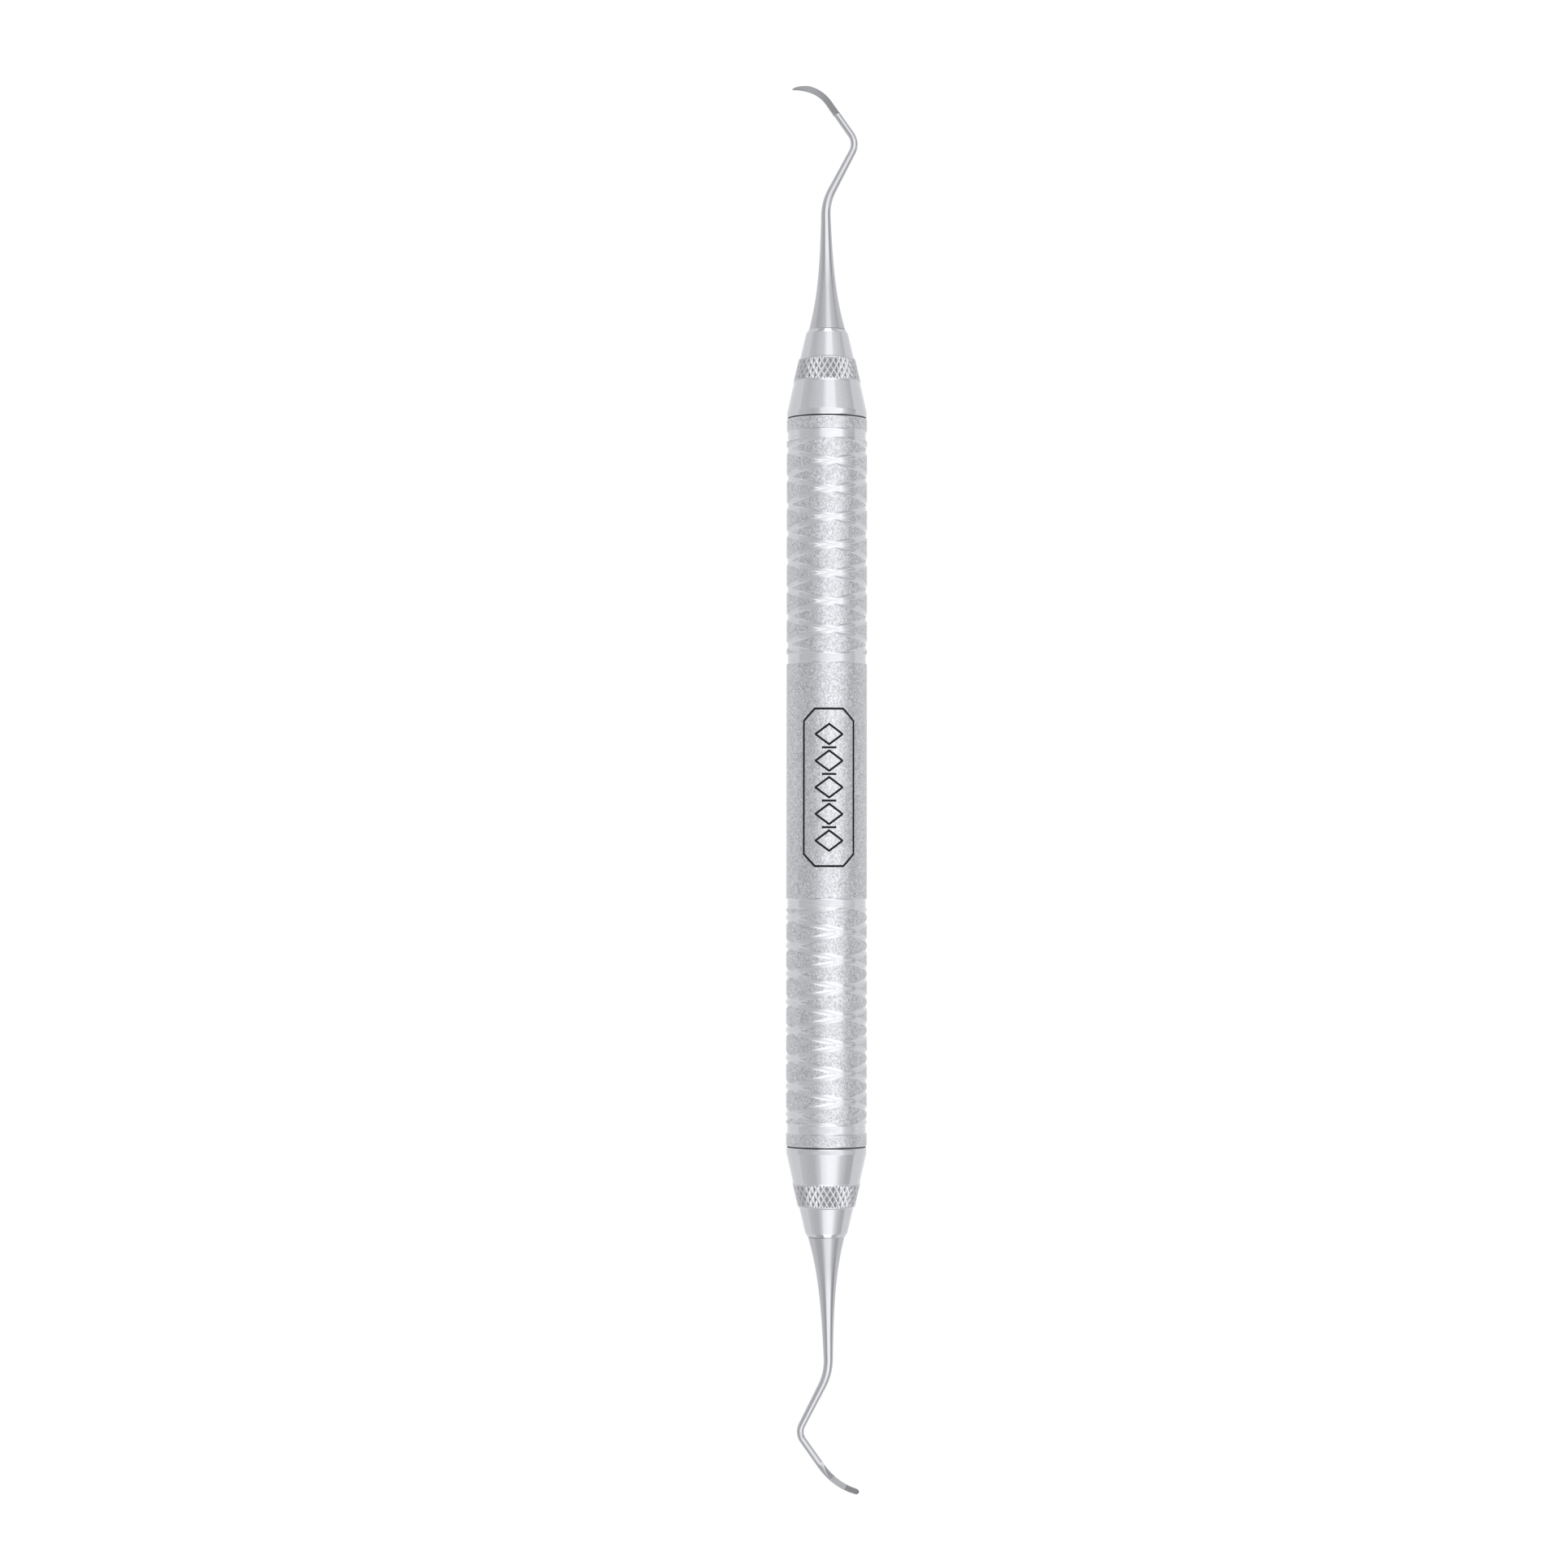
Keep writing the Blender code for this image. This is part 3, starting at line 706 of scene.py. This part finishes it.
class Nodes:
    """A node tree, with short calls for the nodes used here. A number, a colour or another node's
    output can stand for any input."""

    def __init__(self, tree):
        self.tree = tree

    def put(self, socket, value):
        if isinstance(value, bpy.types.NodeSocket):
            self.tree.links.new(value, socket)
        else:
            socket.default_value = value

    def node(self, kind, inputs, **settings):
        node = self.tree.nodes.new("ShaderNode" + kind)
        for key, value in settings.items():
            setattr(node, key, value)
        for key, value in inputs.items():
            self.put(node.inputs[key], value)
        return node

    def math(self, operation, *values, clamp=False):
        node = self.node("Math", dict(enumerate(values)), operation=operation, use_clamp=clamp)
        return node.outputs[0]

    def attribute(self, name):
        return self.node("Attribute", {}, attribute_name=name).outputs

    def scaled(self, vector, *scale):
        return self.node("Mapping", {"Vector": vector, "Scale": scale}).outputs[0]

    def place(self, *scale):
        """The place in the object in millimetres, times a scale for each axis when given."""
        where = self.node("TexCoord", {}).outputs["Object"]
        return self.scaled(where, *(part / MM for part in scale or (1.0, 1.0, 1.0)))

    def noise(self, vector, size, detail=2.0, rough=0.5):
        """Noise whose features are about this many millimetres (of what vector counts)."""
        inputs = {"Vector": vector, "Scale": 1.0 / size, "Detail": detail, "Roughness": rough}
        return self.node("TexNoise", inputs).outputs["Fac"]

    def cells(self, vector, size):
        """Distance from each cell's middle in cells, and a number of its own for each cell."""
        inputs = {"Vector": vector, "Scale": 1.0 / size, "Randomness": 1.0}
        outputs = self.node("TexVoronoi", inputs).outputs
        return outputs["Distance"], self.node("SeparateColor", {0: outputs["Color"]}).outputs[0]

    def span(self, value, low, high, first=0.0, last=1.0):
        inputs = {"Value": value, "From Min": low, "From Max": high, "To Min": first, "To Max": last}
        return self.node("MapRange", inputs).outputs[0]

    def mix(self, part, first, second):
        node = self.node("Mix", {0: part}, data_type="RGBA")
        self.put(node.inputs[6], first)
        self.put(node.inputs[7], second)
        return node.outputs[2]

    def blend(self, part, first, second):
        node = self.node("Mix", {0: part}, data_type="FLOAT")
        self.put(node.inputs[2], first)
        self.put(node.inputs[3], second)
        return node.outputs[0]


class Shader(Nodes):
    """A material."""

    def __init__(self, name, **values):
        self.material = bpy.data.materials.new(name)
        self.material.use_nodes = True
        super().__init__(self.material.node_tree)
        self.shader = self.tree.nodes["Principled BSDF"]
        for key, value in values.items():
            self.shader.inputs[key.replace("_", " ")].default_value = value

    def finish(self, colour, roughness, height, depth):
        """depth is the height of the bumps in millimetres."""
        self.put(self.shader.inputs["Base Color"], colour)
        self.put(self.shader.inputs["Roughness"], roughness)
        inputs = {"Height": height, "Distance": depth * MM, "Strength": 1.0}
        self.put(self.shader.inputs["Normal"], self.node("Bump", inputs).outputs[0])
        return self.material


def grey(level):
    """Steel's slightly blue grey."""
    return (level * 0.99, level, level * 1.045, 1.0)


def blasted_steel():
    """Sand-blasted islands with a sparkling grain, and polished grooves, by the polish attribute."""
    look = Shader("blasted_steel", Metallic=1.0)
    where = look.place()
    polish = look.attribute("polish")["Fac"]
    grain = look.noise(where, 0.22, 4.0, 0.8)
    cloud = look.noise(where, 1.6, 2.0)
    lines = look.noise(look.place(1.0, 0.05, 0.05), 0.06, 3.0)
    facets = look.cells(where, 0.15)[1]
    pocks, chosen = look.cells(where, 0.45)
    matt = look.mix(look.span(grain, 0.4, 0.6), grey(0.41), grey(0.59))
    matt = look.mix(0.5, matt, look.mix(facets, grey(0.25), grey(0.78)))
    matt = look.mix(look.span(cloud, 0.35, 0.65, 0.0, 0.2), matt, grey(0.48))
    pock = look.math("MULTIPLY", look.span(pocks, 0.22, 0.1), look.span(chosen, 0.78, 0.8))
    matt = look.mix(look.math("MULTIPLY", pock, 0.55), matt, grey(0.17))
    shine = look.mix(look.span(lines, 0.35, 0.65), grey(0.53), grey(0.61))
    colour = look.mix(polish, matt, shine)
    rough = look.blend(polish, look.span(grain, 0.3, 0.7, 0.3, 0.44),
                       look.span(lines, 0.3, 0.7, 0.13, 0.19))
    height = look.blend(polish, grain, look.math("MULTIPLY", lines, 0.06))
    return look.finish(colour, rough, height, 0.02)


def polished_steel():
    """The cone's turned and polished steel, with painted shade and more roughness in the knurl's pits.
    """
    look = Shader("polished_steel", Metallic=1.0)
    turned_at = look.attribute("turned")["Vector"]
    pit = look.attribute("pit")["Fac"]
    lines = look.noise(look.scaled(turned_at, 1.0, 0.2, 0.0), 0.045, 4.0, 0.6)
    streaks = look.noise(look.scaled(turned_at, 0.02, 5.0, 0.0), 0.6, 3.0, 0.6)
    cloud = look.noise(look.place(), 2.2, 3.0)
    fine = look.noise(look.place(), 0.12, 2.0)
    colour = look.mix(look.span(lines, 0.3, 0.7), grey(0.52), grey(0.57))
    colour = look.mix(look.span(streaks, 0.35, 0.7, 0.0, 0.15), colour, grey(0.47))
    # Painted shade in the knurl's pits: their colour is darkened where the recesses would be in shade.
    painted_pit_shade = look.math("MULTIPLY", pit, look.span(fine, 0.3, 0.7, 0.6, 1.0))
    colour = look.mix(painted_pit_shade, colour, grey(0.22))
    rough = look.span(cloud, 0.35, 0.65, 0.08, 0.12)
    rough = look.blend(look.math("MULTIPLY", pit, 0.6), rough, 0.25)
    return look.finish(colour, rough, lines, 0.0006)


def tip_steel():
    """Shanks polished lengthwise, and blades ground matt, with painted shade on some ground facets, by
    their attributes.
    """
    look = Shader("tip_steel", Metallic=1.0)
    path = look.attribute("path")["Vector"]
    matt = look.attribute("ground")["Fac"]
    facet_shade = look.attribute("facet_shade")["Fac"]
    long = look.noise(look.scaled(path, 0.06, 1.0, 1.0), 0.05, 3.0, 0.6)
    cross = look.noise(look.scaled(path, 1.0, 0.25, 0.25), 0.05, 3.0, 0.7)
    grain = look.noise(path, 0.11, 2.0, 0.6)
    shine = look.mix(look.span(long, 0.3, 0.7), grey(0.43), grey(0.48))
    light = look.mix(look.span(cross, 0.3, 0.7), grey(0.275), grey(0.325))
    # Painted shade: ground facets turned away from the light get this darker colour instead of the plain
    # ground one.
    shaded_ground = look.mix(look.span(grain, 0.3, 0.7), grey(0.15), grey(0.18))
    colour = look.mix(matt, shine, look.mix(facet_shade, light, shaded_ground))
    rough = look.blend(matt, look.span(long, 0.3, 0.7, 0.05, 0.08), 0.42)
    height = look.blend(matt, look.math("MULTIPLY", long, 0.1), cross)
    return look.finish(colour, rough, height, 0.004)


def bushing_steel():
    look = Shader("bushing_steel", Metallic=1.0)
    lines = look.noise(look.place(1.0, 0.1, 0.1), 0.08, 3.0)
    cloud = look.noise(look.place(), 1.0, 3.0)
    colour = look.mix(look.span(cloud, 0.3, 0.7), grey(0.42), grey(0.5))
    return look.finish(colour, look.span(lines, 0.3, 0.7, 0.24, 0.4), lines, 0.003)


def black_nitrile():
    look = Shader("black_nitrile")
    grain = look.noise(look.place(), 0.07, 3.0)
    dust = look.noise(look.place(), 0.5, 3.0)
    colour = look.mix(look.span(dust, 0.45, 0.75), (0.012, 0.012, 0.013, 1.0), (0.03, 0.03, 0.031, 1.0))
    return look.finish(colour, look.span(grain, 0.3, 0.7, 0.5, 0.68), grain, 0.004)


def laser_black():
    look = Shader("laser_black")
    look.shader.inputs["Specular IOR Level"].default_value = 0.1
    grain = look.noise(look.place(), 0.1, 3.0, 0.7)
    colour = look.mix(look.span(grain, 0.35, 0.7), (0.004, 0.004, 0.005, 1.0), (0.02, 0.02, 0.022, 1.0))
    return look.finish(colour, look.span(grain, 0.3, 0.7, 0.6, 0.85), grain, 0.006)


# Studio


def make_floor():
    look = Shader("white_table", Base_Color=(0.08, 0.08, 0.08, 1.0), Roughness=1.0)
    look.shader.inputs["Specular IOR Level"].default_value = 0.0
    look.shader.inputs["Emission Color"].default_value = (1.0, 1.0, 1.0, 1.0)
    look.shader.inputs["Emission Strength"].default_value = 0.94
    half = FLOOR_SIZE / 2 * MM
    mesh = bpy.data.meshes.new("white_table")
    corners = [(-half, -half), (half, -half), (half, half), (-half, half)]
    mesh.from_pydata([(x, y, -FLOOR_GAP * MM) for x, y in corners], [], [(0, 1, 2, 3)])
    mesh.materials.append(look.material)
    floor = bpy.data.objects.new("white_table", mesh)
    bpy.context.scene.collection.objects.link(floor)


def light_ramp(tree, angle, levels):
    """Level of the studio's light by angle, as a part of its peak."""
    node = tree.nodes.new("ShaderNodeValToRGB")
    stops = node.color_ramp.elements
    while len(stops) < len(levels):
        stops.new(1.0)
    for stop, (degrees, level) in zip(stops, levels):
        stop.position = degrees / 360 + 0.5
        value = level / LIGHT_PEAK
        stop.color = (value, value, value, 1.0)
    tree.links.new(angle, node.inputs[0])
    return node.outputs[0]


def make_light():
    """White surroundings with a long softbox overhead that leans towards -Y."""
    world = bpy.data.worlds.new("studio")
    world.use_nodes = True
    tree = world.node_tree
    bpy.context.scene.world = world
    look = Nodes(tree)
    direction = look.node("TexCoord", {}).outputs["Generated"]
    parts = look.node("SeparateXYZ", {0: direction}).outputs
    angle = look.math("ARCTAN2", look.math("MULTIPLY", parts[1], -1.0), parts[2])
    angle = look.math("ADD", look.math("DIVIDE", angle, 2 * math.pi), 0.5)
    up = look.math("GREATER_THAN", parts[0], 0.0)
    lean = look.math("ABSOLUTE", parts[0])
    wide, shank, low, high, steep_low, steep_high, wall = (
        light_ramp(tree, angle, levels)
        for levels in (WIDE_LIGHT, SHANK_LIGHT, DOWN_LIGHT, UP_LIGHT, STEEP_DOWN_LIGHT,
                       STEEP_UP_LIGHT, WALL_LIGHT)
    )
    colour = look.mix(look.span(lean, *SHANK_LEAN), wide, shank)
    colour = look.mix(look.span(lean, *SLOPE_LEAN), colour, look.mix(up, low, high))
    colour = look.mix(look.span(lean, *STEEP_LEAN), colour, look.mix(up, steep_low, steep_high))
    falling = look.math("MULTIPLY", look.span(lean, *WALL_LEAN), look.math("SUBTRACT", 1.0, up))
    colour = look.mix(falling, colour, wall)
    background = tree.nodes["Background"]
    look.put(background.inputs["Color"], colour)
    background.inputs["Strength"].default_value = LIGHT_PEAK


def make_camera():
    """Looks straight down on the handle, sickle end up, as the photograph was taken."""
    camera = bpy.data.objects.new("camera", bpy.data.cameras.new("camera"))
    camera.data.lens = LENS
    camera.data.sensor_width = 36.0
    camera.data.shift_y = CAMERA_SHIFT_Y
    camera.data.clip_start = 0.01
    camera.data.clip_end = 20.0
    tilt = math.radians(CAMERA_TILT)
    right = Vector((0.0, -1.0, 0.0))
    up = Vector((math.cos(tilt), 0.0, math.sin(tilt)))
    turn = Matrix((right, up, right.cross(up))).transposed().to_4x4()
    roll = Matrix.Rotation(math.radians(CAMERA_ROLL), 4, "Z")
    place = Vector((CAMERA_X, CAMERA_Y, AXIS_HEIGHT + CAMERA_ABOVE)) * MM
    camera.matrix_world = Matrix.Translation(place) @ turn @ roll
    bpy.context.scene.collection.objects.link(camera)
    bpy.context.scene.camera = camera


def main():
    polished, tips, rubber = polished_steel(), tip_steel(), black_nitrile()
    make_handle(blasted_steel())
    make_mark(laser_black())
    bushing = bushing_steel()
    for end, side, tip in (("sickle", 1, SICKLE), ("curette", -1, CURETTE)):
        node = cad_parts[f"{end}_end_bushing"]
        node.data.materials.clear()
        node.data.materials.append(bushing)
        make_seal(end, side, rubber)
        make_cone(end, side, polished)
        make_tip(end, side, tip, tips)
    make_floor()
    make_light()
    make_camera()
    bpy.context.scene.view_settings.view_transform = "Standard"


main()
